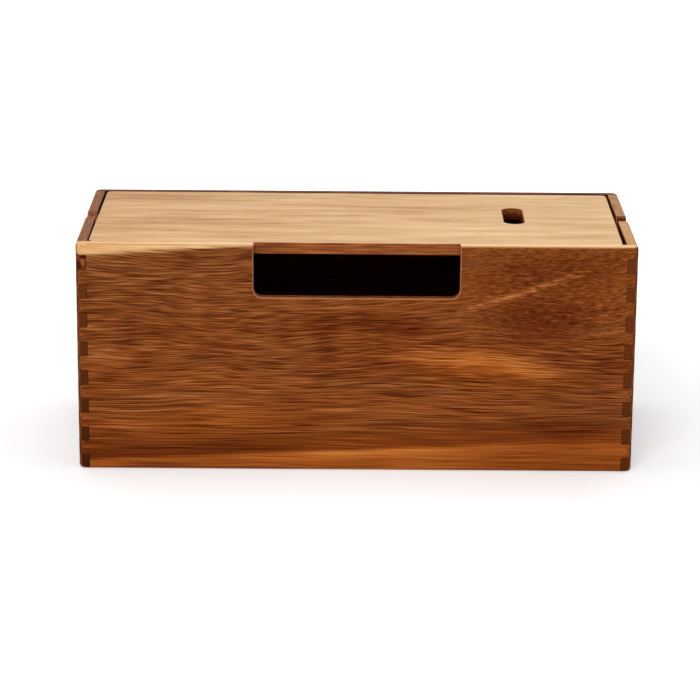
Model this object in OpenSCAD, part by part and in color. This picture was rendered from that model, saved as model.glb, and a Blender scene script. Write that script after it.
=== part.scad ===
// Desktop cable management box: four finger-jointed walls, a base let in between them,
// four corner blocks and a loose lid that lies flush inside the rim.
// Millimetres. +X is the box's right, +Y its back, +Z up.
// The origin is the middle of the underside, so the front face is at Y = -box_d / 2.

/* [Box] */
// Outer width, left to right
box_w = 310; // [240:1:400]
// Outer depth, front to back
box_d = 135; // [110:1:200]
// Outer height, which is also the level of the lid's top
box_h = 130; // [100:1:180]
// Thickness of the four walls
wall_t = 6; // [5:0.5:9]
// Thickness of the base board
base_t = 6; // [4:0.5:9]

/* [Finger joints] */
// Fingers up each corner, counted over both walls
finger_count = 16; // [8:2:24]
// Height of the topmost finger, which is trimmed to the height of the box
top_finger_h = 6.6; // [4:0.2:9]

/* [Edges] */
// Rounding of the four upright corners, seen from above
corner_r = 4; // [2.5:0.5:5]
// Rounding of the outer edges along the top
rim_r = 1.6; // [0.6:0.2:2.2]
// Rounding of the outer edges along the bottom
foot_r = 2.2; // [0.6:0.2:2.2]
// Bevel that eases the rims of the openings
ease = 0.6; // [0.3:0.1:1]

/* [Front opening] */
// Width of the opening in the front wall
notch_w = 114; // [60:1:180]
// Depth of the front opening below the rim
notch_depth = 30; // [15:1:50]
// Rounding of the lower corners of the front and side openings
notch_r = 5; // [2:0.5:5.5]

/* [Side openings] */
// Width of the cable slot in each end wall
slot_w = 13; // [12:0.5:24]
// Depth of the cable slot below the rim
slot_depth = 30; // [15:1:60]
// How far the left slot lies behind the middle
left_slot_y = 3; // [-10:0.5:10]
// How far the right slot lies behind the middle
right_slot_y = 0.5; // [-10:0.5:10]

/* [Lid] */
// Thickness of the lid
lid_t = 7; // [5:0.5:10]
// Mean clearance at each end of the lid
lid_end_gap = 1.5; // [1.4:0.1:3]
// Mean clearance along each long edge of the lid
lid_long_gap = 1.3; // [1.3:0.1:3]
// How far the loose lid lies to the left
lid_shift = 0.35; // [0:0.05:0.4]
// How far the loose lid lies turned in its recess, in degrees clockwise
lid_turn = 0.37; // [0:0.01:0.37]
// Rounding of the lid's four upright corners, seen from above
lid_corner_r = 3; // [1.5:0.5:4]
// Rounding of the lid's upper and lower edges
lid_edge_r = 0.8; // [0.4:0.1:1.2]
// Width of the oblong hole in the lid
hole_w = 11.4; // [8:0.2:20]
// Length of the oblong hole in the lid, front to back
hole_l = 39; // [24:1:60]
// How far the hole lies to the right of the middle
hole_x = 90; // [0:1:95]
// How far the hole lies behind the middle
hole_y = 6; // [-10:1:10]

/* [Corner blocks] */
// Side of the blocks that carry the lid
block_w = 12; // [8:1:16]
// Height of the blocks
block_h = 20; // [10:1:40]
// Bevel down the free corner of each block
block_bevel = 3; // [1:0.5:5]

/* [Hidden] */

inner_w = box_w - 2 * wall_t;
inner_d = box_d - 2 * wall_t;
finger_h = (box_h - top_finger_h) / (finger_count - 1);
lid_w = inner_w - 2 * lid_end_gap;
lid_d = inner_d - 2 * lid_long_gap;
lid_z = box_h - lid_t;
// Cutting tools reach this far past the wood
reach = 1;
left = -1;
right = 1;
front = -1;
back = 1;
$fn = 96;

// Upright rectangle in 2D, centred on X and standing on Y = 0, with its lower corners rounded
// to radius low and its upper ones to radius high.
module soft_outline(w, h, low, high) {
    translate([low - w / 2, 0]) square([w - 2 * low, h / 2]);
    translate([high - w / 2, h / 2]) square([w - 2 * high, h / 2]);
    translate([-w / 2, low]) square([w, h - low - high]);
    for (end = [-1, 1]) {
        translate([end * (w / 2 - low), low]) circle(low);
        translate([end * (w / 2 - high), h - high]) circle(high);
    }
}

// Block on the XY plane with upright corners of radius up, and its lower and upper edges rounded.
module soft_block(w, d, h, up, low, high) {
    translate([up - w / 2, 0, 0])
        rotate([90, 0, 90]) linear_extrude(w - 2 * up) soft_outline(d, h, low, high);
    translate([0, d / 2 - up, 0])
        rotate([90, 0, 0]) linear_extrude(d - 2 * up) soft_outline(w, h, low, high);
    for (quarter = [0:3]) {
        sx = (quarter == 0 || quarter == 3) ? 1 : -1;
        sy = quarter < 2 ? 1 : -1;
        translate([sx * (w / 2 - up), sy * (d / 2 - up), 0])
            rotate([0, 0, 90 * quarter]) rotate_extrude(angle = 90) intersection() {
                soft_outline(2 * up, h, low, high);
                square([up, h]);
            }
    }
}

// The outside of the whole box, from which each wall takes its rounded edges.
module box_form() {
    soft_block(box_w, box_d, box_h, corner_r, foot_r, rim_r);
}

// Section of the bevel along a rim: u runs into the wood from the opening, v from the face inwards.
module ease_section(r = 0) {
    polygon([[r - reach, -reach], [r + ease + reach, -reach], [r - reach, ease + reach]]);
}

// Bevel along one rim of an opening that is cut down from the top edge of a wall.
// The wall's face is the XZ plane, the wood lies behind it, and Z = 0 is the top edge.
module u_rim(w, depth, r) {
    for (side = [0, 1]) mirror([side, 0, 0]) {
        translate([w / 2, 0, r - depth]) linear_extrude(depth - r + reach) ease_section();
        translate([w / 2 - r, 0, r - depth])
            rotate([-90, 0, 0]) rotate_extrude(angle = 90) ease_section(r);
    }
    translate([r - w / 2, 0, -depth]) rotate([0, 90, 0]) linear_extrude(w - 2 * r) ease_section();
}

// Opening cut down from the top edge of a wall, with round lower corners and eased rims.
module u_opening(w, depth, r) {
    translate([0, wall_t + reach, 0]) rotate([90, 0, 0]) linear_extrude(wall_t + 2 * reach) {
        translate([-w / 2, r - depth]) square([w, depth - r + reach]);
        translate([r - w / 2, -depth]) square([w - 2 * r, depth]);
        for (x = [r - w / 2, w / 2 - r]) translate([x, r - depth]) circle(r);
    }
    u_rim(w, depth, r);
    translate([0, wall_t, 0]) mirror([0, 1, 0]) u_rim(w, depth, r);
}

// Sockets at both ends of a wall for the other walls' fingers, on every second level from first.
// The wall runs along X, and its length is measured over both ends.
module finger_sockets(length, first) {
    for (level = [first:2:finger_count - 1], end = [0, 1]) mirror([end, 0, 0]) {
        low = level == 0 ? -reach : level * finger_h;
        high = level == finger_count - 1 ? box_h + reach : (level + 1) * finger_h;
        translate([length / 2 - wall_t, -reach, low])
            cube([wall_t + reach, wall_t + 2 * reach, high - low]);
    }
}

// Square-edged wall running along X, with its outer face on the XZ plane.
module wall_blank(length, first) {
    difference() {
        translate([-length / 2, 0, 0]) cube([length, wall_t, box_h]);
        finger_sockets(length, first);
    }
}

// Front or back wall, in place: these two own the top finger of every corner.
module long_wall(side) {
    intersection() {
        box_form();
        rotate([0, 0, side == front ? 0 : 180]) translate([0, -box_d / 2, 0]) wall_blank(box_w, 0);
    }
}

// Left or right wall, in place, with its cable slot: these two own the bottom finger.
module end_wall(side) {
    difference() {
        intersection() {
            box_form();
            rotate([0, 0, side * 90]) translate([0, -box_w / 2, 0]) wall_blank(box_d, 1);
        }
        rotate([0, 0, side * 90])
            translate([side == left ? -left_slot_y : right_slot_y, -box_w / 2, box_h])
                u_opening(slot_w, slot_depth, notch_r);
    }
}

module front_panel() {
    color("sienna") difference() {
        long_wall(front);
        translate([0, -box_d / 2, box_h]) u_opening(notch_w, notch_depth, notch_r);
    }
}

module back_panel() {
    color("sienna") long_wall(back);
}

module left_panel() {
    color("saddlebrown") end_wall(left);
}

module right_panel() {
    color("saddlebrown") end_wall(right);
}

module bottom_panel() {
    color("peru") translate([-inner_w / 2, -inner_d / 2, 0]) cube([inner_w, inner_d, base_t]);
}

// Bevel round the upper rim of an oblong hole that runs along Y.
module oblong_rim(w, l) {
    for (half = [0, 180]) rotate([0, 0, half]) {
        translate([0, (l - w) / 2, 0])
            rotate_extrude(angle = 180) mirror([0, 1]) ease_section(w / 2);
        translate([w / 2, (l - w) / 2, 0])
            rotate([90, 0, 0]) linear_extrude(l - w) mirror([0, 1]) ease_section();
    }
}

// Oblong through hole along Y with its upper and lower rims eased.
module oblong_hole(w, l, t) {
    translate([0, 0, -reach]) linear_extrude(t + 2 * reach) {
        translate([-w / 2, (w - l) / 2]) square([w, l - w]);
        for (y = [(w - l) / 2, (l - w) / 2]) translate([0, y]) circle(w / 2);
    }
    translate([0, 0, t]) oblong_rim(w, l);
    mirror([0, 0, 1]) oblong_rim(w, l);
}

module lid() {
    color("burlywood") translate([-lid_shift, 0, lid_z]) rotate([0, 0, -lid_turn]) difference() {
        soft_block(lid_w, lid_d, lid_t, lid_corner_r, lid_edge_r, lid_edge_r);
        translate([hole_x, hole_y, 0]) oblong_hole(hole_w, hole_l, lid_t);
    }
}

// Block glued into an upright corner just under the lid, which rests on it.
module lid_block(side, face) {
    color("peru") translate([side * inner_w / 2, face * inner_d / 2, lid_z - block_h])
        scale([-side, -face, 1]) linear_extrude(block_h) polygon([
            [0, 0],
            [block_w, 0],
            [block_w, block_w - block_bevel],
            [block_w - block_bevel, block_w],
            [0, block_w]
        ]);
}

front_panel();
back_panel();
left_panel();
right_panel();
bottom_panel();
lid();
lid_block(left, front);  // lid_block_front_left
lid_block(right, front);  // lid_block_front_right
lid_block(left, back);  // lid_block_back_left
lid_block(right, back);  // lid_block_back_right
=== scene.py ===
# %% [markdown]
# # An oiled acacia cable box
#
# The box is joinery: four finger-jointed walls, a base board, four corner blocks and a loose lid.
# Every piece has its exact shape in the frame already, so nothing is modelled again here. All the work
# goes into the wood, because bare wood is all that the eye gets from such a box.
#
# Acacia is drawn in three dimensions: each board is cut out of one solid pattern whose fibres run along
# that board. The same pattern then shows long lines on a face and dots on an end, and it meets itself
# correctly round every edge, which no flat picture on the faces could do.

# %% Frame
import math

import bpy
from mathutils import Matrix, Vector


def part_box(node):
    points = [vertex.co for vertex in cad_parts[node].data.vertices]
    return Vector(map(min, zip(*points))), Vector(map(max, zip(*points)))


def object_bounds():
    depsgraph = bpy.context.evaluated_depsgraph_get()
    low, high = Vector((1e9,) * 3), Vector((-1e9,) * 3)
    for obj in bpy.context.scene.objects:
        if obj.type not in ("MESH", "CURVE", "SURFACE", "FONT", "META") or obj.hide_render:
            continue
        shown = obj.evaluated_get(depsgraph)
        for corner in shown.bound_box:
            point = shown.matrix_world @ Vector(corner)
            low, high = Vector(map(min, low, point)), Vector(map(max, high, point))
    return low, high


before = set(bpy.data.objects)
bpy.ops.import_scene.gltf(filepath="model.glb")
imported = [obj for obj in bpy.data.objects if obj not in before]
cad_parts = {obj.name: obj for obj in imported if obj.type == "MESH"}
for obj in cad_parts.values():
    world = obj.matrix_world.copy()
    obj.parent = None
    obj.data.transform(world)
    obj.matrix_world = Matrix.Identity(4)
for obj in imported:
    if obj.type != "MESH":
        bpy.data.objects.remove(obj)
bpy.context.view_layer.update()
MM = 0.001
print("pieces:", ", ".join(sorted(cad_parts)))

# %% [markdown]
# Sizes are in millimetres, and they are measured on the frame as far as it tells them. Only the corner
# joint is typed in: how many fingers go up a corner, and how high the topmost one is, which was trimmed
# to the height of the box.

# %% Sizes
BOX_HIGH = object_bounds()[1]
HALF_W = BOX_HIGH.x / MM
HALF_D = BOX_HIGH.y / MM
HEIGHT = BOX_HIGH.z / MM
WALL = HALF_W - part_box("bottom_panel")[1].x / MM
LID_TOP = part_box("lid")[1].z / MM
FINGERS = 16
TOP_FINGER = 6.6
FINGER = (HEIGHT - TOP_FINGER) / (FINGERS - 1)
print(f"box {2 * HALF_W:.0f} x {2 * HALF_D:.0f} x {HEIGHT:.0f} mm")
print(f"walls {WALL:.1f} mm thick, fingers {FINGER:.3f} mm high")

# %% [markdown]
# ## Camera
#
# The box is seen from the front and a little above, through a long lens, so its upright edges stay
# almost parallel. The lens is given in millimetres on the usual 36 mm sensor. The camera is placed by its
# position in metres and three angles: how far it turns, how far it looks down and how far it tips
# sideways.

# %% Camera
SENSOR = 36
LENS = 144.3
CAMERA_AT = Vector((-0.0072, -1.5622, 0.5038))
TURN = math.radians(0.144)
LOOK_DOWN = math.radians(16.173)
TIP = math.radians(0.452)


def place_camera():
    data = bpy.data.cameras.new("camera")
    data.lens = LENS
    data.sensor_width = SENSOR
    camera = bpy.data.objects.new("camera", data)
    bpy.context.scene.collection.objects.link(camera)
    turned = Matrix.Rotation(-TURN, 4, "Z") @ Matrix.Rotation(math.radians(90) - LOOK_DOWN, 4, "X")
    camera.matrix_world = Matrix.Translation(CAMERA_AT) @ turned @ Matrix.Rotation(TIP, 4, "Z")
    bpy.context.scene.camera = camera


place_camera()
print(f"camera {LENS} mm, looking down {math.degrees(LOOK_DOWN):.1f} degrees")

# %% [markdown]
# ## Nodes and colours
#
# A material is a small net of nodes. One function adds a node, gives it its settings and fills its
# sockets: a number or a colour is written into the socket, and another node or output is wired to it.
# The inputs are a tuple in the order of the sockets, or a dict where only some of them are wanted.
# Colours are written as sRGB hex, as any paint program shows them, and one function turns them into the
# linear values that light works with.


# %% Nodes and colours
def linear(hex_colour):
    parts = [int(hex_colour[i:i + 2], 16) / 255 for i in (1, 3, 5)]
    return tuple(c / 12.92 if c <= 0.04045 else ((c + 0.055) / 1.055) ** 2.4 for c in parts) + (1.0,)


def add(tree, kind, inputs=(), **settings):
    made = tree.nodes.new("ShaderNode" + kind)
    for name, value in settings.items():
        setattr(made, name, value)
    for socket, value in inputs.items() if isinstance(inputs, dict) else enumerate(inputs):
        if isinstance(value, bpy.types.Node):
            value = value.outputs[0]
        if isinstance(value, bpy.types.NodeSocket):
            tree.links.new(value, made.inputs[socket])
        else:
            made.inputs[socket].default_value = value
    return made


def new_material(name):
    material = bpy.data.materials.new(name)
    material.use_nodes = True
    material.node_tree.nodes.clear()
    return material


print("the brown #9C551D in linear values:", [round(c, 3) for c in linear("#9C551D")[:3]])

# %% [markdown]
# ### Masks and tones
#
# Two kinds of value run through the whole of the wood. A mask is 1 where something is drawn and 0 where
# it isn't, and masks that have to hold together are multiplied. A tone is the lightness of the wood
# round a mean of 0.5, which is also the mean of every noise, and a calm stretch of wood is one whose
# tone is drawn back towards that mean.

# %% Masks and tones
MEAN = 0.5


def all_of(tree, first, *others):
    product = first
    for mask in others:
        product = add(tree, "Math", (product, mask), operation="MULTIPLY")
    return product


def calmed(tree, tone, mask, by):
    contrast = add(tree, "Math", (mask, -by, 1.0), operation="MULTIPLY_ADD")
    off_mean = add(tree, "Math", (tone, MEAN), operation="SUBTRACT")
    return add(tree, "Math", (off_mean, contrast, MEAN), operation="MULTIPLY_ADD")


print("mean tone:", MEAN)

# %% [markdown]
# ## The acacia
#
# Acacia heartwood is red-brown, and its sapwood, the ring under the bark, is pale straw. What makes it
# look like acacia and not like brown paint is:
#
# - fibres: bundles of lighter and darker fibres, under a millimetre thick and a few centimetres long
# - pores: coarse open vessels, which a plane cuts lengthwise into dark grooves 4 to 15 mm long
# - figure: soft lens-shaped patches where the fibres dip in and out of the surface
# - zones: wide growth zones of dark brown and orange along the board
# - end grain: across the fibres the pores are dots, and the wood drinks more oil and goes dark
#
# The boards were planed, sanded along the grain and oiled, so the surface is satin: rough enough to
# blur every reflection, and only the oil in it shines.
#
# Each board has its own axes: first along the fibres, then across its face, then through its thickness.
# A board object keeps them together with the place on the box in millimetres and with how squarely the
# surface faces along each axis. They come from the object's own coordinates, so they move with the lid.
#
# A noise is one endless pattern with cells of size 1. `in_cells` stretches it to cells of a real size in
# millimetres, and moves it: each board starts at a seed of its own, so no two boards look alike, and
# each use on that board starts at a place of its own.

# %% Axes of a board
ALONG_X = ("X", "Z", "Y")
FLAT_X = ("X", "Y", "Z")
ALONG_Y = ("Y", "Z", "X")
UPRIGHT = ("Z", "X", "Y")


class Board:
    """The axes of one board, and how squarely its surface faces along them, inside its material."""

    def __init__(self, tree, order):
        self.tree = tree
        coordinates = add(tree, "TexCoord")
        where = add(tree, "SeparateXYZ", (coordinates.outputs["Object"],))
        normal = add(tree, "SeparateXYZ", (coordinates.outputs["Normal"],))
        self.place = {a: add(tree, "Math", (where.outputs[a], MM), operation="DIVIDE") for a in "XYZ"}
        self.axes = [self.place[a] for a in order]
        self.facing = [add(tree, "Math", (normal.outputs[a],), operation="ABSOLUTE") for a in order]
        self.fibres = self.axes


def in_cells(tree, axes, start, cell):
    """A vector of the given axes, moved by start and measured in cells of the given size."""
    vector = add(tree, "CombineXYZ", axes)
    moved = add(tree, "VectorMath", (vector, start), operation="ADD")
    return add(tree, "VectorMath", (moved, cell), operation="DIVIDE")


print("axes of the front wall:", ALONG_X)

# %% [markdown]
# ### Wandering fibres
#
# Fibres are never quite straight. A slow noise carries the whole pattern up and down by a few
# millimetres along the board, and a quicker one by less, so that the lines run together and part again.
# Through the board they wander much less, because a fibre that leaves the face ends there, and the
# lines on these faces are long. The pattern is bent once here, and everything drawn afterwards follows
# the same fibres.

# %% Wandering fibres
WANDERS = (dict(cell=(95, 40, 40), by=12.0), dict(cell=(36, 14, 14), by=4.0))
WANDER_START = (31, 17)
THROUGH_SHARE = 0.25


def bend_fibres(board, seed, wanders, waves, climb):
    """Carries the two axes across the fibres about by noise, after a steady climb if there is one.
    Waves is a function that tells how much of the wandering there is at a place. Where there is less,
    the fibres are longer too.
    """
    tree = board.tree
    along, across, through = board.axes
    share = waves(board) if waves else None
    if climb:
        across = add(tree, "Math", (across, climb(board)), operation="SUBTRACT")
    for wander in wanders:
        vector = in_cells(tree, (along, across, through), (seed, *WANDER_START), wander["cell"])
        seen = add(tree, "TexNoise", {"Vector": vector, "Scale": 1.0, "Detail": 1.0})
        push = add(tree, "VectorMath", (seen.outputs["Color"], (MEAN, MEAN, MEAN)), operation="SUBTRACT")
        if waves:
            push = add(tree, "VectorMath", (push, share), operation="MULTIPLY")
        pushes = add(tree, "SeparateXYZ", (push,)).outputs
        across = add(tree, "Math", (pushes[0], wander["by"], across), operation="MULTIPLY_ADD")
        less = wander["by"] * THROUGH_SHARE
        through = add(tree, "Math", (pushes[1], less, through), operation="MULTIPLY_ADD")
    run = add(tree, "Math", (along, share), operation="MULTIPLY") if waves else along
    board.fibres = [run, across, through]


print("fibres wander by up to", " and ".join(f"{wander['by'] / 2:.0f} mm" for wander in WANDERS))

# %% [markdown]
# ### Pores
#
# A pore is a Voronoi cell stretched along the fibres, of which only the middle is dark, so it is a thin
# dash that tapers at both ends. Real pores are 0.2 to 0.3 mm wide: they are drawn two to three times as
# coarse, because finer ones would be lost between the pixels. Each pore has its own strength.

# %% Pores
PORES = (
    # size of a cell, how strong
    ((22.0, 0.8, 0.8), 1.0),
    ((14.0, 0.6, 0.6), 0.9),
)
PORE_START = (5, 9)
NEXT_PORES = 40
PORE_EDGE = (0.42, 0.126)
PORE_STRENGTHS = (0.1, 0.9)


def pores(board, seed):
    """1 in the middle of a vessel, 0 in the wood beside it."""
    tree = board.tree
    total = 0.0
    for cell, strength in PORES:
        vector = in_cells(tree, board.fibres, (seed, *PORE_START), cell)
        cells = add(tree, "TexVoronoi", {"Vector": vector, "Scale": 1.0})
        own = add(tree, "SeparateXYZ", (cells.outputs["Color"],))
        shape = add(tree, "MapRange", (cells, *PORE_EDGE), interpolation_type="SMOOTHSTEP")
        vessel = add(tree, "MapRange", (own, *PORE_STRENGTHS, 0.0, strength),
                     interpolation_type="SMOOTHSTEP")
        total = add(tree, "Math", (all_of(tree, shape, vessel), total), operation="MAXIMUM")
        seed += NEXT_PORES
    return total


print(len(PORES), "sizes of pore")

# %% [markdown]
# ### Fibres and figure
#
# The tone of the wood is a sum of noises, each stretched along the fibres and each with its real size,
# from the single bundle of fibres to clouds as wide as a hand. Real bundles are 0.1 to 0.3 mm thick, and
# they too are drawn two to three times as coarse.

# %% Fibres and figure
FIBRES = dict(cell=(18.0, 0.5, 0.5), detail=0.0)
STREAKS = dict(cell=(60.0, 2.0, 2.0), detail=1.0)
FIGURE = dict(cell=(50.0, 8.0, 9.0), detail=1.0)
CLOUDS = dict(cell=(110.0, 26.0, 30.0), detail=1.0)
WALL_LAYERS = ((FIBRES, 1.0), (STREAKS, 0.06), (FIGURE, 0.12), (CLOUDS, 0.2))
LAYER_STEP = 7
LAYER_DEPTH = 3


def wood_tone(board, seed, layers):
    tree = board.tree
    tone = MEAN
    for number, (layer, weight) in enumerate(layers):
        start = (seed, number * LAYER_STEP, LAYER_DEPTH)
        vector = in_cells(tree, board.fibres, start, layer["cell"])
        part = add(tree, "TexNoise", {"Vector": vector, "Scale": 1.0, "Detail": layer["detail"]})
        off_mean = add(tree, "Math", (part, MEAN), operation="SUBTRACT")
        tone = add(tree, "Math", (off_mean, weight, tone), operation="MULTIPLY_ADD")
    return tone


print("a wall's tone is the sum of", len(WALL_LAYERS), "noises")

# %% [markdown]
# ### Grain lines
#
# Here and there a vessel line runs on for several centimetres and bends gently. Where a smooth noise
# crosses its own mean it draws just such a line, because noise that is stretched along the fibres has
# long, thin contours. A second noise lets each line come and go.

# %% Grain lines
GRAIN_LINES = dict(cell=(60.0, 1.9, 1.9), start=(77, 3), thin=0.05, darker=-0.2)
LINE_BREAKS = dict(cell=(16.0, 3.0, 3.0), start=(99, 3), share=(0.35, 0.65))


def grain_lines(board, seed):
    tree = board.tree
    vector = in_cells(tree, board.fibres, (seed, *GRAIN_LINES["start"]), GRAIN_LINES["cell"])
    wave = add(tree, "TexNoise", {"Vector": vector, "Scale": 1.0, "Detail": 0.0})
    off_mean = add(tree, "Math", (wave, MEAN), operation="SUBTRACT")
    off_line = add(tree, "Math", (off_mean,), operation="ABSOLUTE")
    line = add(tree, "MapRange", (off_line, GRAIN_LINES["thin"], 0.0), interpolation_type="SMOOTHSTEP")
    vector = in_cells(tree, board.fibres, (seed, *LINE_BREAKS["start"]), LINE_BREAKS["cell"])
    some = add(tree, "TexNoise", {"Vector": vector, "Scale": 1.0, "Detail": 0.0})
    there = add(tree, "MapRange", (some, *LINE_BREAKS["share"]), interpolation_type="SMOOTHSTEP")
    return all_of(tree, line, there)


print("a grain line darkens the wood by", -GRAIN_LINES["darker"])

# %% [markdown]
# ### Colours of the wood
#
# The tone picks a colour from a ramp that goes from pore brown over red-brown to honey. Sapwood has its
# own, narrow ramp of straw tones. Where a board shows more than one kind of wood, a mask mixes them.

# %% Colours of the wood
HEARTWOOD = ((0.0, "#3C1200"), (0.25, "#632705"), (0.5, "#85441A"), (0.75, "#AC602D"), (1.0, "#CC8952"))
SAPWOOD = ((0.0, "#A8743F"), (0.3, "#C6945F"), (0.55, "#DAAD7A"), (0.8, "#E6BC89"), (1.0, "#F0CC9C"))
END_BROWN = "#3C1903"
GLUE_BROWN = "#1E0A01"
# The two light colours of the painted highlight along the arrises.
ARRIS_HIGHLIGHT_TAN = "#B98058"
ARRIS_HIGHLIGHT_PALE = "#F6D8B8"


def wood_colour(tree, tone, ramp):
    """The colour that this kind of wood has at a tone."""
    made = add(tree, "ValToRGB", (tone,))
    points = made.color_ramp.elements
    while len(points) < len(ramp):
        points.new(1.0)
    for point, (place, colour) in zip(points, ramp):
        point.position = place
        point.color = linear(colour)
    return made


print(len(HEARTWOOD), "heartwood tones,", len(SAPWOOD), "sapwood tones")

# %% [markdown]
# ### Glue lines
#
# The fingers are glued, and each joint shows as a hairline darker than the wood. The lines are worked
# out from the joint itself. The front and back walls own every second finger, counted from the top, and
# the end walls own the others. A level line lies under each finger. On the long faces an upright line
# closes the end walls' fingers, and on the ends one closes the long walls' fingers. Real lines are
# 0.1 mm wide: they are drawn 0.5 mm wide, or nothing of them would show. The darkest middle of a line is
# a hair, and a hair is also the room that the tests leave for rounding.

# %% Glue lines
GLUE_HALF = 0.25
HAIR = 0.05


def glue_lines(board):
    """A mask of the joint lines, and one of the corner columns that they lie in."""
    tree = board.tree
    past = []
    for axis, half in (("X", HALF_W), ("Y", HALF_D)):
        out = add(tree, "Math", (board.place[axis],), operation="ABSOLUTE")
        past.append(add(tree, "Math", (out, half - WALL), operation="SUBTRACT"))
    in_end, in_side = [add(tree, "Math", (p, -HAIR), operation="GREATER_THAN") for p in past]
    off_end, off_side = [add(tree, "Math", (p,), operation="ABSOLUTE") for p in past]
    height = board.place["Z"]
    level = add(tree, "Math", (height, 2 * FINGER), operation="FLOORED_MODULO")
    long_wall = add(tree, "Math", (level, FINGER), operation="GREATER_THAN")
    end_wall = add(tree, "Math", (1.0, long_wall), operation="SUBTRACT")
    off_level = add(tree, "Math", (height, FINGER / 2), operation="PINGPONG")
    from_rim = add(tree, "Math", (height, HEIGHT / 2), operation="PINGPONG")
    off_rim = add(tree, "Math", (from_rim, FINGER / 2), operation="GREATER_THAN")
    total = 0.0
    for off, *masks in (
        (off_level, off_rim, in_end, in_side),
        (off_end, in_side, end_wall),
        (off_side, in_end, long_wall),
    ):
        line = add(tree, "MapRange", (off, GLUE_HALF, HAIR), interpolation_type="SMOOTHSTEP")
        total = add(tree, "Math", (all_of(tree, line, *masks), total), operation="MAXIMUM")
    return total, all_of(tree, in_end, in_side)


print(f"{FINGERS} fingers up each corner, glue lines {2 * GLUE_HALF} mm wide")

# %% [markdown]
# ### Painted shade inside
#
# The inner faces are painted darker than the outside, as painted shade inside the box and in the gaps
# round the lid. They are where a wall lies right at the box's inner width or depth.

# %% Painted shade inside
INSIDE_PAINTED_SHADE = -0.18


def inside_painted_shade(board, tone):
    tree = board.tree
    masks = []
    for axis, half in (("X", HALF_W), ("Y", HALF_D)):
        out = add(tree, "Math", (board.place[axis],), operation="ABSOLUTE")
        masks.append(add(tree, "Math", (out, half - WALL + HAIR), operation="LESS_THAN"))
    # Painted shade: the faces that look into the box are made darker.
    return add(tree, "Math", (all_of(tree, *masks), INSIDE_PAINTED_SHADE, tone), operation="MULTIPLY_ADD")


print(f"inside {2 * (HALF_W - WALL):.0f} x {2 * (HALF_D - WALL):.0f} mm")

# %% [markdown]
# ### Painted highlights on the arrises
#
# A fine light line is painted along the rims of the openings and the edges of the lid: a painted
# highlight, where these rounded edges catch the light. An arris is where the surface leans over from the
# board's face towards its edge. The big rounded corners of the box get no painted highlight, and nor
# does anything further down than the openings reach.

# %% Painted highlights on the arrises
OPENINGS_REACH = 33.0
ARRIS_OFF_FACE = (0.94, 0.78)
ARRIS_OFF_EDGE = (0.34, 0.62)


def arris_highlights(board, reach, dark):
    """The painted highlight on the eased edges, down to reach below the rim, except where dark is 1."""
    tree = board.tree
    off_face = add(tree, "MapRange", (board.facing[2], *ARRIS_OFF_FACE), interpolation_type="SMOOTHSTEP")
    off_edge = add(tree, "MapRange", (board.facing[2], *ARRIS_OFF_EDGE), interpolation_type="SMOOTHSTEP")
    upper = add(tree, "Math", (board.place["Z"], HEIGHT - reach), operation="GREATER_THAN")
    light = add(tree, "Math", (1.0, dark), operation="SUBTRACT")
    return all_of(tree, off_face, off_edge, upper, light)


print(f"light edges down to {HEIGHT - OPENINGS_REACH:.0f} mm above the foot")

# %% [markdown]
# ### Oil
#
# The surface is a plain dielectric at the IOR of a drying oil, as rough as satin. It shines much less
# than a film of varnish would, because the oil has gone into the wood. The pores are rougher than the
# wood between them and lie a little deeper, and the ends of the fingers are the roughest, because their
# cut fibres stay open. How strongly a board shines is one number for all of it, so it is written
# straight into the shader's socket: a model that leaves Blender keeps such a number and would lose one
# that nodes work out.

# %% Oil
OIL_IOR = 1.47
GLOSS = 0.04
SATIN = 0.42
PORE_ROUGHER = 0.2
PORE_DEPTH = 0.1
END_ROUGHER = 0.4


def oiled(tree, colour, grooves, end, gloss):
    rough = add(tree, "Math", (grooves, PORE_ROUGHER, SATIN), operation="MULTIPLY_ADD")
    rough = add(tree, "Math", (end, END_ROUGHER, rough), operation="MULTIPLY_ADD")
    height = add(tree, "Math", (1.0, grooves), operation="SUBTRACT")
    relief = add(tree, "Bump", {"Height": height, "Distance": PORE_DEPTH * MM})
    return add(tree, "BsdfPrincipled", {"Base Color": colour, "Roughness": rough, "IOR": OIL_IOR,
                                        "Specular IOR Level": gloss, "Normal": relief})


print("satin oil, roughness", SATIN, "and IOR", OIL_IOR)

# %% [markdown]
# ### One board
#
# `acacia` makes the material of one board: it sums up the tone, turns it into colour, stains the finger
# ends and the glue lines, and paints a highlight along the arrises. The ends of the fingers are calmer
# and darker than the rest, because oil fills the cut fibres and sinks in there. A Mix node holds the
# sockets for numbers, vectors and colours side by side: its factor is input 0, its colours are inputs 6
# and 7, and the mixed colour is output 2.

# %% One board
ACROSS_FIBRES = (0.55, 0.95)
END_CALMER = 0.7
END_DARKER = (0.62, 0.62)
GLUE_SHOWS = 0.85
# How strongly the painted highlight on the arrises shows.
ARRIS_HIGHLIGHT_SHOWS = 0.7
POROUS = 0.4


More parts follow.
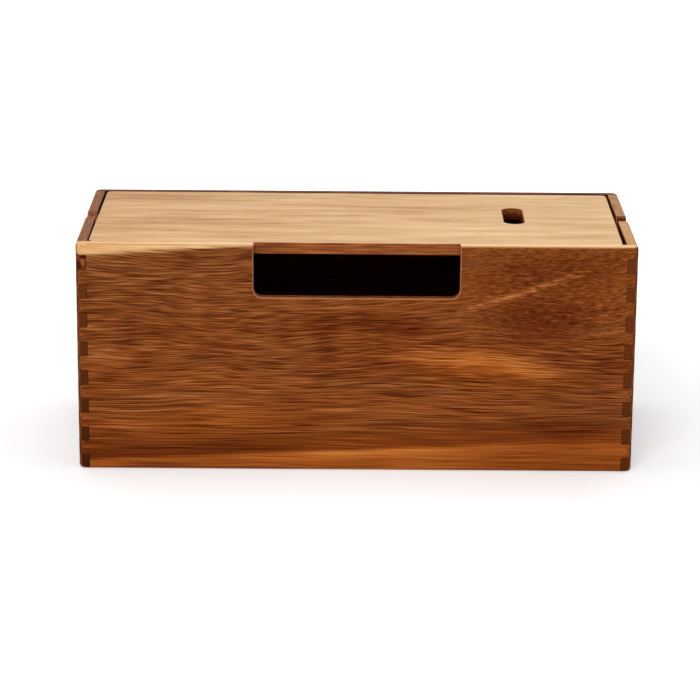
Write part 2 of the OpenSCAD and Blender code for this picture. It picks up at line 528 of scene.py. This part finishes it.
def acacia(name, order, seed, layers, gloss=GLOSS, shade=0.0, porous=POROUS, wanders=WANDERS, waves=None,
           climb=None, zones=(), others=(), end_darker=END_DARKER, arris=(ARRIS_HIGHLIGHT_TAN, OPENINGS_REACH, None)):
    """The wood of one board. Waves, climb and zones are functions that draw what is that board's own,
    and others are the masks and the ramps of the other kinds of wood in it. End_darker is how much
    darker the ends of the fingers are at the foot of the box and at its rim. The last argument is the
    colour of the highlight painted on the eased edges, how far down from the rim it reaches, and what
    draws the places without it where those aren't the corners of the box.
    """
    material = new_material(name)
    tree = material.node_tree
    board = Board(tree, order)
    bend_fibres(board, seed, wanders, waves, climb)
    grooves = pores(board, seed)
    tone = add(tree, "Math", (grooves, -porous, wood_tone(board, seed, layers)), operation="MULTIPLY_ADD")
    lines = grain_lines(board, seed)
    tone = add(tree, "Math", (lines, GRAIN_LINES["darker"], tone), operation="MULTIPLY_ADD")
    for zone in zones:
        tone = zone(board, tone)
    glue, corner = glue_lines(board)
    across = add(tree, "MapRange", (board.facing[0], *ACROSS_FIBRES), interpolation_type="SMOOTHSTEP")
    end = all_of(tree, across, corner)
    tone = add(tree, "Math", (calmed(tree, tone, end, END_CALMER), shade), operation="ADD")
    colour = wood_colour(tree, tone, HEARTWOOD)
    for there, ramp in others:
        other = wood_colour(tree, tone, ramp)
        colour = add(tree, "Mix", {0: there(board), 6: colour, 7: other}, data_type="RGBA").outputs[2]
    soaked = add(tree, "MapRange", (board.place["Z"], 0.0, HEIGHT, *end_darker))
    # The last stain is a painted highlight along the eased edges.
    highlight_colour, arris_reach, highlight_off = arris
    painted_highlight = arris_highlights(board, arris_reach, highlight_off(board) if highlight_off else corner)
    stains = ((end, soaked, END_BROWN), (glue, GLUE_SHOWS, GLUE_BROWN), (painted_highlight, ARRIS_HIGHLIGHT_SHOWS, highlight_colour))
    for mask, shows, stain in stains:
        amount = all_of(tree, mask, shows)
        colour = add(tree, "Mix", {0: amount, 6: colour, 7: linear(stain)}, data_type="RGBA").outputs[2]
    add(tree, "OutputMaterial", (oiled(tree, colour, grooves, end, gloss),))
    return material


# The last of these colours is the painted highlight on the arrises.
print("stains over the wood:", END_BROWN, GLUE_BROWN, ARRIS_HIGHLIGHT_TAN)

# %% [markdown]
# ### The front and back walls
#
# The front wall has a figure of its own: a pale lens right of the middle, dark clouds above it, and
# fibres that climb towards the upper right corner. Each of these patches is one soft ellipse in the bent
# grain space, so that its edges run out along the fibres.

# %% Patches of the front wall
FRONT_PATCHES = dict(
    # middle along and up, half length, half height, rise to the right, how much lighter
    lens=(46, 65, 38, 9, -0.06, 0.21),
    lens_tail=(88, 61, 42, 9, -0.08, 0.26),
    lens_halo=(66, 62, 62, 12, -0.10, 0.08),
    dark_cloud_over_lens=(102, 87, 48, 16, 0.05, -0.20),
    dark_wedge_at_right_end=(142, 64, 20, 8, -0.2, -0.12),
    dark_upper_right=(108, 110, 54, 16, 0.0, -0.14),
    dark_cloud_below_opening=(0, 84, 62, 12, 0.0, -0.13),
    pale_middle_left=(-68, 52, 80, 13, 0.0, 0.09),
    pale_lower_left=(-90, 32, 90, 16, 0.0, 0.10),
    pale_lower_middle=(16, 36, 90, 10, 0.0, 0.08),
    spot_at_left_joint=(-140, 69, 18, 6, 0.0, 0.10),
    dark_streak_at_foot=(118, 26, 40, 9, 0.0, -0.19),
)
PATCH_EDGE = (1.0, 0.2)


def soft_patch(board, middle_along, middle_up, half_length, half_height, rise, amount):
    """The amount in the middle of a soft ellipse, and 0 outside it."""
    tree = board.tree
    off = add(tree, "Math", (board.axes[0], middle_along), operation="SUBTRACT")
    line = add(tree, "Math", (off, rise, middle_up), operation="MULTIPLY_ADD")
    height = add(tree, "Math", (board.fibres[1], line), operation="SUBTRACT")
    ellipse = in_cells(tree, (off, height), (0, 0, 0), (half_length, half_height, 1))
    far = add(tree, "VectorMath", (ellipse,), operation="LENGTH").outputs["Value"]
    return add(tree, "MapRange", (far, *PATCH_EDGE, 0.0, amount), interpolation_type="SMOOTHSTEP")


def patches(board, tone):
    for patch in FRONT_PATCHES.values():
        tone = add(board.tree, "Math", (soft_patch(board, *patch), tone), operation="ADD")
    return tone


print("patches on the front wall:", ", ".join(FRONT_PATCHES))

# %% [markdown]
# The fibres of the front wall run straighter and longer towards its foot. Plainer boards went into the
# back, the ends and the base: their fibres wander little anywhere.

# %% Waves and climb
FRONT_WAVES = dict(up=(10.0, 80.0), share=(0.35, 1.0))
PLAIN_WAVES = (0.45, 0.65)
FRONT_CLIMB = dict(from_along=30.0, up=(52.0, 118.0), rise=0.05)


def front_waves(board):
    return add(board.tree, "MapRange", (board.axes[1], *FRONT_WAVES["up"], *FRONT_WAVES["share"]),
               interpolation_type="SMOOTHSTEP")


def plain_waves(board):
    return add(board.tree, "MapRange", (board.place["Z"], 0.0, HEIGHT, *PLAIN_WAVES))


def front_climb(board):
    """How far the fibres have climbed by this place: they rise towards the upper right corner."""
    tree = board.tree
    along, up, _ = board.axes
    past = add(tree, "Math", (along, FRONT_CLIMB["from_along"]), operation="SUBTRACT")
    run = add(tree, "Math", (past, 0.0), operation="MAXIMUM")
    high = add(tree, "MapRange", (up, *FRONT_CLIMB["up"], 0.0, FRONT_CLIMB["rise"]),
               interpolation_type="SMOOTHSTEP")
    return all_of(tree, run, high)


print("the fibres climb", round(FRONT_CLIMB["rise"] * (HALF_W - FRONT_CLIMB["from_along"]), 1), "mm")

# %% [markdown]
# ### Growth zones along the foot
#
# Along the foot of the front wall runs an orange growth zone with a dark one above it, in wood that is
# more yellow than the rest. The line between them is sharp, as where one year's wood ends: it climbs
# slowly to the right and levels off. Two soft patches higher up, one of them round the lens, are of the
# same orange wood.

# %% Orange wood
ORANGE = ((0.0, "#320F00"), (0.25, "#5E2605"), (0.5, "#874012"), (0.75, "#B25E22"), (1.0, "#D8873A"))
FOOT_LINE = dict(up=12.9, climb=0.047, crest=16.2, rounding=1.5)
FOOT_WOOD = (14.0, 3.0)
ORANGE_PATCHES = dict(round_lens=(72, 58, 72, 18, -0.1, 0.95), lower_left=(-80, 26, 110, 20, 0.0, 0.75))


def above_foot_line(board):
    """How far this place is above the line between the two zones, in millimetres."""
    tree = board.tree
    climbing = add(tree, "Math", (board.axes[0], FOOT_LINE["climb"], FOOT_LINE["up"]),
                   operation="MULTIPLY_ADD")
    line = add(tree, "Math", (climbing, FOOT_LINE["crest"], FOOT_LINE["rounding"]),
               operation="SMOOTH_MIN")
    return add(tree, "Math", (board.fibres[1], line), operation="SUBTRACT")


def foot_wood(board):
    return add(board.tree, "MapRange", (above_foot_line(board), *FOOT_WOOD), interpolation_type="SMOOTHSTEP")


def orange_wood(board):
    share = foot_wood(board)
    for patch in ORANGE_PATCHES.values():
        share = add(board.tree, "Math", (soft_patch(board, *patch), share), operation="MAXIMUM")
    return share


print("orange wood: the foot,", ", ".join(ORANGE_PATCHES))

# %% [markdown]
# Both zones are calmer than the wood above them. The orange one glows: it is brightest a little right of
# the middle and right under the line. The dark one fades out upwards, and it is darker to the left.

# %% Growth zones along the foot
FOOT_EDGE = dict(orange=(0.6, -1.8), dark=(-0.4, 1.2))
FOOT_CALMER = 0.5
FOOT_GLOW = dict(middle=10.0, half_length=110.0, lighter=(0.16, 0.4), below=(-9.0, -2.5), at_foot=0.45)
FOOT_BAND = dict(along=(-110.0, 10.0), darker=(-0.17, -0.04))


def foot_zones(board, tone):
    tree = board.tree
    above = above_foot_line(board)
    orange = add(tree, "MapRange", (above, *FOOT_EDGE["orange"]), interpolation_type="SMOOTHSTEP")
    over_edge = add(tree, "MapRange", (above, *FOOT_EDGE["dark"]), interpolation_type="SMOOTHSTEP")
    dark = all_of(tree, over_edge, foot_wood(board))
    either = add(tree, "Math", (orange, dark), operation="ADD")
    tone = calmed(tree, tone, either, FOOT_CALMER)
    off_middle = add(tree, "Math", (board.axes[0], FOOT_GLOW["middle"]), operation="SUBTRACT")
    far = add(tree, "Math", (off_middle,), operation="ABSOLUTE")
    glow = add(tree, "MapRange", (far, FOOT_GLOW["half_length"], 0.0, *FOOT_GLOW["lighter"]),
               interpolation_type="SMOOTHSTEP")
    fades = add(tree, "MapRange", (above, *FOOT_GLOW["below"], FOOT_GLOW["at_foot"], 1.0),
                interpolation_type="SMOOTHSTEP")
    tone = add(tree, "Math", (all_of(tree, orange, glow), fades, tone), operation="MULTIPLY_ADD")
    darker = add(tree, "MapRange", (board.axes[0], *FOOT_BAND["along"], *FOOT_BAND["darker"]),
                 interpolation_type="SMOOTHSTEP")
    return add(tree, "Math", (dark, darker, tone), operation="MULTIPLY_ADD")


print(f"the line climbs from {FOOT_LINE['up'] - FOOT_LINE['climb'] * HALF_W:.1f} mm to its crest")

# %% [markdown]
# ### The curly corner
#
# Near a branch the fibres curl in and out of the face. Long lines give way to short curled flecks, which
# are a little fainter, and a light streak runs through them up to the right.

# %% The curly corner
CURLY = dict(along=(30.0, 85.0), up=(66.0, 90.0), calmer=0.72)
FLECKS = dict(cell=(3.8, 0.6, 0.6), start=(3, 5, 7), climb=0.03, weight=0.9)


def curly_corner(board, tone):
    tree = board.tree
    along, up, _ = board.axes
    right = add(tree, "MapRange", (along, *CURLY["along"]), interpolation_type="SMOOTHSTEP")
    high = add(tree, "MapRange", (up, *CURLY["up"]), interpolation_type="SMOOTHSTEP")
    curly = all_of(tree, right, high)
    tone = calmed(tree, tone, curly, CURLY["calmer"])
    run, across, through = board.fibres
    tilted = add(tree, "Math", (run, -FLECKS["climb"], across), operation="MULTIPLY_ADD")
    vector = in_cells(tree, (run, tilted, through), FLECKS["start"], FLECKS["cell"])
    fleck = add(tree, "TexNoise", {"Vector": vector, "Scale": 1.0, "Detail": 1.0})
    off_mean = add(tree, "Math", (fleck, MEAN), operation="SUBTRACT")
    amount = add(tree, "Math", (curly, FLECKS["weight"]), operation="MULTIPLY")
    return add(tree, "Math", (off_mean, amount, tone), operation="MULTIPLY_ADD")


print("flecks of", FLECKS["cell"][0], "x", FLECKS["cell"][1], "mm")

# %% [markdown]
# The streak is a straight line with soft edges that fades in and out at its ends. A noise breaks it up,
# because its fibres too dip in and out of the face.

# %% The light streak
STREAK = dict(start=(69.0, 96.0), climb=0.35, edge=(2.8, 0.4), comes=(48.0, 80.0), goes=(134.0, 112.0),
              lighter=0.4)
STREAK_BREAKS = dict(cell=(7.0, 1.4, 1.4), start=(2, 4, 6), share=(0.22, 0.62))


def light_streak(board, tone):
    tree = board.tree
    along, up, _ = board.axes
    start_along, start_up = STREAK["start"]
    past = add(tree, "Math", (along, start_along), operation="SUBTRACT")
    line = add(tree, "Math", (past, STREAK["climb"], start_up), operation="MULTIPLY_ADD")
    above = add(tree, "Math", (up, line), operation="SUBTRACT")
    off = add(tree, "Math", (above,), operation="ABSOLUTE")
    near = add(tree, "MapRange", (off, *STREAK["edge"]), interpolation_type="SMOOTHSTEP")
    comes = add(tree, "MapRange", (along, *STREAK["comes"]), interpolation_type="SMOOTHSTEP")
    goes = add(tree, "MapRange", (along, *STREAK["goes"]), interpolation_type="SMOOTHSTEP")
    vector = in_cells(tree, board.fibres, STREAK_BREAKS["start"], STREAK_BREAKS["cell"])
    noise = add(tree, "TexNoise", {"Vector": vector, "Scale": 1.0, "Detail": 1.0})
    broken = add(tree, "MapRange", (noise, *STREAK_BREAKS["share"]), interpolation_type="SMOOTHSTEP")
    streak = all_of(tree, near, comes, goes, broken)
    return add(tree, "Math", (streak, STREAK["lighter"], tone), operation="MULTIPLY_ADD")


print(f"a streak that climbs {math.degrees(math.atan(STREAK['climb'])):.0f} degrees")

# %% [markdown]
# ### Sapwood along the rim
#
# The front wall was cut with the edge of the trunk along its top, so a strip of sapwood lies along the
# rim and widens to the left, with a soft and slightly ragged lower edge. Where the strip has run out, a
# hairline of sapwood is left on the arris. This wood lay right under the bark and is yellower than the
# lid's, so it has a ramp of its own. Sapwood is calmer than heartwood, and the narrow part of the strip
# is the lightest.

# %% Sapwood along the rim
RIM_SAPWOOD = ((0.0, "#A46A34"), (0.3, "#DCA264"), (0.55, "#EEBA7E"), (0.8, "#F8CD98"), (1.0, "#FEDCB4"))
RIM_SAP = dict(up=134.0, climb=-0.06, hairline=(0.65, -0.15), calmer=0.45, lighter=(0.03, 0.36),
               along=(-150.0, -55.0))
SAP_EDGE = dict(cell=(26.0, 1.5, 1.5), start=(9, 5, 2), ragged=2.4, soft=(-2.8, 0.6))


def above_sap_line(board):
    """How far this place is above the sapwood's edge, in millimetres."""
    tree = board.tree
    leaning = add(tree, "Math", (board.place["X"], RIM_SAP["climb"], board.place["Z"]),
                  operation="MULTIPLY_ADD")
    above_line = add(tree, "Math", (leaning, RIM_SAP["up"]), operation="SUBTRACT")
    vector = in_cells(tree, board.fibres, SAP_EDGE["start"], SAP_EDGE["cell"])
    noise = add(tree, "TexNoise", {"Vector": vector, "Scale": 1.0, "Detail": 0.0})
    off_mean = add(tree, "Math", (noise, MEAN), operation="SUBTRACT")
    return add(tree, "Math", (off_mean, SAP_EDGE["ragged"], above_line), operation="MULTIPLY_ADD")


def rim_sap(board):
    tree = board.tree
    above = above_sap_line(board)
    strip = add(tree, "MapRange", (above, *SAP_EDGE["soft"]), interpolation_type="SMOOTHSTEP")
    below_rim = add(tree, "Math", (HEIGHT, board.place["Z"]), operation="SUBTRACT")
    hairline = add(tree, "MapRange", (below_rim, *RIM_SAP["hairline"]), interpolation_type="SMOOTHSTEP")
    return add(tree, "Math", (strip, hairline), operation="MAXIMUM")


def rim_tone(board, tone):
    tree = board.tree
    sap = rim_sap(board)
    tone = calmed(tree, tone, sap, RIM_SAP["calmer"])
    lighter = add(tree, "MapRange", (board.place["X"], *RIM_SAP["along"], *RIM_SAP["lighter"]),
                  interpolation_type="SMOOTHSTEP")
    return add(tree, "Math", (sap, lighter, tone), operation="MULTIPLY_ADD")


print(f"at the left end the strip is {HEIGHT - RIM_SAP['up'] - RIM_SAP['climb'] * HALF_W:.1f} mm wide")

# %% [markdown]
# ### Tawny wood
#
# The heartwood below the wide end of the sapwood is tawny, which is browner and greyer than the rest,
# and so are soft clouds elsewhere.

# %% Tawny wood
TAWNY = ((0.0, "#381C08"), (0.25, "#5E3212"), (0.5, "#855028"), (0.75, "#AE7040"), (1.0, "#D09A66"))
TAWNY_REACH = dict(below=(-70.0, -5.0), along=(10.0, -60.0), share=0.45)
TAWNY_CLOUDS = dict(cell=(60.0, 16.0, 20.0), start=(7, 3, 11), from_noise=(0.42, 0.62), share=0.25)


def tawny_wood(board):
    tree = board.tree
    vector = in_cells(tree, board.fibres, TAWNY_CLOUDS["start"], TAWNY_CLOUDS["cell"])
    noise = add(tree, "TexNoise", {"Vector": vector, "Scale": 1.0, "Detail": 1.0})
    cloud = add(tree, "MapRange", (noise, *TAWNY_CLOUDS["from_noise"], 0.0, TAWNY_CLOUDS["share"]),
                interpolation_type="SMOOTHSTEP")
    below = add(tree, "MapRange", (above_sap_line(board), *TAWNY_REACH["below"]),
                interpolation_type="SMOOTHSTEP")
    left = add(tree, "MapRange", (board.axes[0], *TAWNY_REACH["along"]), interpolation_type="SMOOTHSTEP")
    near_sap = all_of(tree, below, left, TAWNY_REACH["share"])
    return add(tree, "Math", (near_sap, cloud), operation="MAXIMUM")


print(f"tawny clouds take {TAWNY_CLOUDS['share']:.0%} of the colour at most")

# %% [markdown]
# All of this together is the front wall. The back wall is a plain and darker board of heartwood.

# %% Front and back walls
FRONT_ZONES = (foot_zones, curly_corner, light_streak, patches, rim_tone, inside_painted_shade)
FRONT_OTHERS = ((tawny_wood, TAWNY), (orange_wood, ORANGE), (rim_sap, RIM_SAPWOOD))
FRONT = acacia("oiled_acacia_front", ALONG_X, seed=11, layers=WALL_LAYERS, waves=front_waves,
               climb=front_climb, zones=FRONT_ZONES, others=FRONT_OTHERS)
BACK = acacia("oiled_acacia_back", ALONG_X, seed=53, layers=WALL_LAYERS, shade=-0.2, waves=plain_waves,
              zones=(inside_painted_shade,))
print("front wall:", len(FRONT_ZONES), "zones and", len(FRONT_OTHERS), "other kinds of wood")

# %% [markdown]
# ### The end walls
#
# Their grain runs from front to back, so the front corners show their end grain as dark squares, darker
# towards the foot. The left wall is dark heartwood with a lighter core, which shows in its slot. The
# right one has sapwood along its rim, more of it towards the front, and painted shade on the faces of
# its slot. Their rims are tawny and calm, and both walls got a last coat of oil that makes them shine a
# little more.

# %% Rims and slots of the end walls
END_RIM = dict(below=(1.6, 0.8), share=0.85, calmer=0.5)
RIGHT_SAP = dict(back_to_front=(0.0, -8.0), share=(0.34, 0.62))
SLOT_FACING = (0.75, 0.95)
SLOTS_WITHIN = HALF_D / 2
LEFT_CORE = 0.25
RIGHT_SLOT_PAINTED_SHADE = -0.2


def end_rim(board):
    below_rim = add(board.tree, "Math", (HEIGHT, board.place["Z"]), operation="SUBTRACT")
    return add(board.tree, "MapRange", (below_rim, *END_RIM["below"]), interpolation_type="SMOOTHSTEP")


def tawny_rim(board):
    return all_of(board.tree, end_rim(board), END_RIM["share"])


def calm_rim(board, tone):
    return calmed(board.tree, tone, end_rim(board), END_RIM["calmer"])


def right_sap(board):
    share = add(board.tree, "MapRange", (board.place["Y"], *RIGHT_SAP["back_to_front"], *RIGHT_SAP["share"]),
                interpolation_type="SMOOTHSTEP")
    return all_of(board.tree, end_rim(board), share)


def slot_faces(board):
    """The two upright faces of the slot, which cut across the fibres."""
    tree = board.tree
    across = add(tree, "MapRange", (board.facing[0], *SLOT_FACING), interpolation_type="SMOOTHSTEP")
    from_middle = add(tree, "Math", (board.place["Y"],), operation="ABSOLUTE")
    off_corner = add(tree, "Math", (from_middle, SLOTS_WITHIN), operation="LESS_THAN")
    return all_of(tree, across, off_corner)


def left_core(board):
    return all_of(board.tree, slot_faces(board), LEFT_CORE)


# Painted shade: the faces of the right wall's slot are made darker.
def right_slot_painted_shade(board, tone):
    return add(board.tree, "Math", (slot_faces(board), RIGHT_SLOT_PAINTED_SHADE, tone), operation="MULTIPLY_ADD")


print(f"the end walls' rims are tawny for {END_RIM['below'][0]} mm")

# %% [markdown]
# ### A pin knot
#
# In the left wall's top finger sits a pin knot, the trace of a twig: a tan swirl with dark wood over it
# and beside it. Three soft spots draw it, each placed by how far it lies in from the left face and down
# from the rim. They reach a few millimetres into the wood from the front.

# %% A pin knot
PIN_KNOT = (
    # in from the left, down from the rim, half width, half height, how much lighter
    (4.1, 10.2, 1.3, 2.6, 1.1),
    (4.4, 7.6, 1.6, 1.0, -2.4),
    (2.0, 12.4, 1.6, 2.4, -1.1),
)
KNOT_DEPTH = 6.0
KNOT_EDGE = (1.3, 0.6)


def pin_knot(board, tone):
    tree = board.tree
    place = [board.place[axis] for axis in "XYZ"]
    for in_from_left, down, half_width, half_height, lighter in PIN_KNOT:
        to_middle = (HALF_W - in_from_left, HALF_D, down - HEIGHT)
        vector = in_cells(tree, place, to_middle, (half_width, KNOT_DEPTH, half_height))
        far = add(tree, "VectorMath", (vector,), operation="LENGTH").outputs["Value"]
        spot = add(tree, "MapRange", (far, *KNOT_EDGE, 0.0, lighter), interpolation_type="SMOOTHSTEP")
        tone = add(tree, "Math", (spot, tone), operation="ADD")
    return tone


print("spots of the pin knot:", len(PIN_KNOT))

# %% [markdown]
# The two end walls are put together from these. The left wall's finger ends soaked up more oil than the
# right wall's, so they are darker.

# %% End walls
END_WALL_GLOSS = 0.06
LEFT_ENDS = (0.95, 0.38)
RIGHT_ENDS = (0.62, 0.3)
LEFT = acacia("oiled_acacia_left", ALONG_Y, seed=97, layers=WALL_LAYERS, gloss=END_WALL_GLOSS,
              shade=-0.01, waves=plain_waves, end_darker=LEFT_ENDS,
              zones=(calm_rim, pin_knot, inside_painted_shade), others=((tawny_rim, TAWNY), (left_core, SAPWOOD)))
RIGHT = acacia("oiled_acacia_right", ALONG_Y, seed=131, layers=WALL_LAYERS, gloss=END_WALL_GLOSS,
               shade=-0.04, waves=plain_waves, end_darker=RIGHT_ENDS,
               zones=(calm_rim, right_slot_painted_shade, inside_painted_shade),
               others=((tawny_rim, TAWNY), (right_sap, RIM_SAPWOOD)))
print("end walls:", LEFT.name, RIGHT.name)

# %% [markdown]
# ### The lid
#
# The lid is the outermost board of the trunk: its upper side is a skin of sapwood, and its eased edges
# cut through that skin into redder heartwood with stronger fibres. Sapwood is plainer than heartwood:
# long calm bands and hardly a pore. The board is a little lighter towards its right end and its front
# edge. Hands take hold of it, so it was oiled the most and shines the most.

# %% Skin and heart of the lid
SKIN = 0.25
SKIN_SOFT = 0.12
LID_FIBRES = dict(cell=(32.0, 2.8, 2.8), detail=1.0)
LID_BANDS = dict(cell=(85.0, 9.0, 9.0), detail=1.0)
LID_LAYERS = ((LID_FIBRES, 0.66), (LID_BANDS, 0.75), (CLOUDS, 0.5))
HEART_STREAKS = dict(cell=(26.0, 1.1, 1.1), detail=1.0)
HEART_LAYERS = ((HEART_STREAKS, 1.1), (STREAKS, 0.4))
HEART_SEED = 191
LID_LIGHTER = dict(to_right=0.0012, to_front=0.0008, anywhere=0.045, heart=0.1)


def below_lid_top(board):
    return add(board.tree, "Math", (LID_TOP, board.place["Z"]), operation="SUBTRACT")


def lid_sap(board):
    return add(board.tree, "MapRange", (below_lid_top(board), SKIN + SKIN_SOFT, SKIN - SKIN_SOFT),
               interpolation_type="SMOOTHSTEP")


def lid_heart(board):
    return add(board.tree, "Math", (1.0, lid_sap(board)), operation="SUBTRACT")


def lighter_to_front_right(board, tone):
    tree = board.tree
    tone = add(tree, "Math", (board.axes[0], LID_LIGHTER["to_right"], tone), operation="MULTIPLY_ADD")
    tone = add(tree, "Math", (board.axes[1], -LID_LIGHTER["to_front"], tone), operation="MULTIPLY_ADD")
    return add(tree, "Math", (tone, LID_LIGHTER["anywhere"]), operation="ADD")


def heart_under_skin(board, tone):
    tree = board.tree
    streaky = wood_tone(board, HEART_SEED, HEART_LAYERS)
    strong = add(tree, "Math", (streaky, LID_LIGHTER["heart"]), operation="ADD")
    other = add(tree, "Math", (strong, tone), operation="SUBTRACT")
    return add(tree, "Math", (lid_heart(board), other, tone), operation="MULTIPLY_ADD")


print(f"a skin of sapwood {SKIN} mm thick")

# %% [markdown]
# ### Painted shade in the hole
#
# The wall of the hole is painted a little lighter just under the lid's skin and darker the deeper it
# goes, as painted light and shade, and its eased rims are painted dark as shade too. So this arris gets
# no painted highlight, while the lid's others do.

# %% Painted shade in the hole
HOLE_MIDDLE = (89.7, 5.4)
HOLE_WITHIN = (7.2, 20.6)
HOLE_WALL_PAINTED_SHADE = dict(deep=(0.2, 6.0), darker=(0.16, -0.5))
HOLE_RIM_PAINTED_SHADE = dict(facing_up=(0.15, 0.6), darker=-0.6)


def at_hole(board):
    tree = board.tree
    masks = []
    for axis, middle, half in zip("XY", HOLE_MIDDLE, HOLE_WITHIN):
        off = add(tree, "Math", (board.place[axis], middle), operation="SUBTRACT")
        out = add(tree, "Math", (off,), operation="ABSOLUTE")
        masks.append(add(tree, "Math", (out, half), operation="LESS_THAN"))
    return all_of(tree, *masks)


def shade_painted_in_hole(board, tone):
    tree = board.tree
    wall = add(tree, "MapRange", (below_lid_top(board), *HOLE_WALL_PAINTED_SHADE["deep"], *HOLE_WALL_PAINTED_SHADE["darker"]),
               interpolation_type="SMOOTHSTEP")
    rim = add(tree, "MapRange", (board.facing[2], *HOLE_RIM_PAINTED_SHADE["facing_up"], 0.0, HOLE_RIM_PAINTED_SHADE["darker"]),
              interpolation_type="SMOOTHSTEP")
    # Painted light and shade: lighter just under the skin, darker deeper in the hole and on its rims.
    painted_hole_shade = add(tree, "Math", (wall, rim), operation="ADD")
    there = all_of(tree, at_hole(board), lid_heart(board))
    return add(tree, "Math", (there, painted_hole_shade, tone), operation="MULTIPLY_ADD")


# The hole's painted shade lies within this rectangle.
print(f"shaded within {2 * HOLE_WITHIN[0]:.0f} x {2 * HOLE_WITHIN[1]:.0f} mm")

# %% [markdown]
# The base board is plain heartwood like the walls. The four blocks are short lengths of a square bar,
# which stand on end, so their fibres run upright.

# %% Lid, base and blocks
LID_WANDERS = (dict(cell=(95, 34, 34), by=7.0), dict(cell=(34, 9, 9), by=0.9))
LID_GLOSS = 0.13
LID_POROUS = 0.08
LID_ARRIS_REACH = 2.0
LID = acacia("oiled_acacia_lid", FLAT_X, seed=171, layers=LID_LAYERS, gloss=LID_GLOSS,
             porous=LID_POROUS, wanders=LID_WANDERS,
             zones=(lighter_to_front_right, heart_under_skin, shade_painted_in_hole),
             others=((lid_sap, SAPWOOD),), arris=(ARRIS_HIGHLIGHT_PALE, LID_ARRIS_REACH, at_hole))
BASE = acacia("oiled_acacia_base", FLAT_X, seed=211, layers=WALL_LAYERS, waves=plain_waves)
BLOCKS = acacia("sanded_acacia_blocks", UPRIGHT, seed=251, layers=WALL_LAYERS)
print("materials:", ", ".join(material.name for material in bpy.data.materials))

# %% [markdown]
# Each board gets the wood that was made for it, and the four blocks share one.

# %% Materials on the boards
BOARDS = dict(front_panel=FRONT, back_panel=BACK, left_panel=LEFT, right_panel=RIGHT, bottom_panel=BASE,
              lid=LID)
for name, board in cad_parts.items():
    board.material_slots[0].material = BOARDS.get(name, BLOCKS)
    print(f"{name}: {board.material_slots[0].material.name}")

# %% [markdown]
# ## Floor and light
#
# A packshot: one big soft lamp overhead, one in front that gives less because it stands further off, and
# white paper below and behind. The lamps are set so that a white card on the floor would just reach
# white. The paper is pale grey to the lamps. The camera and the gloss see it a little brighter, and
# quite white away from the box, so it goes white and still keeps the box's soft shadow.

# %% Floor
FLOOR_SIDE = 12.0
LIFT = dict(metres_away=(0.2, 0.7), strength=(0.3, 1.0))
PAPER = "#EDEDED"
WHITE = (1, 1, 1, 1)


def seen_rays(tree, kinds):
    """1 for a ray of one of these kinds, and 0 for any other."""
    path = add(tree, "LightPath")
    total = 0.0
    for kind in kinds:
        total = add(tree, "Math", (path.outputs[kind], total), operation="ADD", use_clamp=True)
    return total


def make_floor():
    half = FLOOR_SIDE / 2
    mesh = bpy.data.meshes.new("floor")
    corners = [(-half, -half, 0), (half, -half, 0), (half, half, 0), (-half, half, 0)]
    mesh.from_pydata(corners, [], [(0, 1, 2, 3)])
    floor = bpy.data.objects.new("floor", mesh)
    bpy.context.scene.collection.objects.link(floor)
    material = new_material("matt_white_paper")
    tree = material.node_tree
    place = add(tree, "TexCoord").outputs["Object"]
    far = add(tree, "VectorMath", (place,), operation="LENGTH").outputs["Value"]
    seen = seen_rays(tree, ("Is Camera Ray", "Is Glossy Ray"))
    whiter = add(tree, "MapRange", (far, *LIFT["metres_away"], *LIFT["strength"]),
                 interpolation_type="SMOOTHSTEP")
    paper = add(tree, "BsdfDiffuse", {"Color": linear(PAPER)})
    glow = add(tree, "Emission", {"Color": WHITE, "Strength": all_of(tree, seen, whiter)})
    add(tree, "OutputMaterial", (add(tree, "AddShader", (paper, glow)),))
    mesh.materials.append(material)


make_floor()
print(f"floor {FLOOR_SIDE:.0f} m square")

# %% Lamps and room
ROOM_LIGHT = 0.3
LAMPS = dict(
    # place and size in metres, power in watts
    overhead_softbox=((0, 0.2, 1.6), (1.8, 1.4), 13.8),
    front_softbox=((-0.4, -1.8, 1.4), (1.2, 0.9), 23),
)


def make_lamp(name, place, size, power):
    data = bpy.data.lights.new(name, "AREA")
    data.shape = "RECTANGLE"
    data.size, data.size_y = size
    data.energy = power
    lamp = bpy.data.objects.new(name, data)
    lamp.location = place
    box_middle = Vector((0, 0, HEIGHT * MM / 2))
    lamp.rotation_euler = (box_middle - lamp.location).to_track_quat("-Z", "Y").to_euler()
    bpy.context.scene.collection.objects.link(lamp)


def make_world():
    world = bpy.data.worlds.new("white_room")
    world.use_nodes = True
    tree = world.node_tree
    tree.nodes.clear()
    seen = seen_rays(tree, ("Is Camera Ray", "Is Glossy Ray", "Is Transmission Ray"))
    strength = add(tree, "MapRange", (seen, 0.0, 1.0, ROOM_LIGHT, 1.0))
    sky = add(tree, "Background", {"Color": WHITE, "Strength": strength})
    add(tree, "OutputWorld", (sky,))
    bpy.context.scene.world = world


make_world()
for name, (place, size, power) in LAMPS.items():
    make_lamp(name, place, size, power)
bpy.context.scene.view_settings.view_transform = "Standard"
print("a white room and", ", ".join(LAMPS))
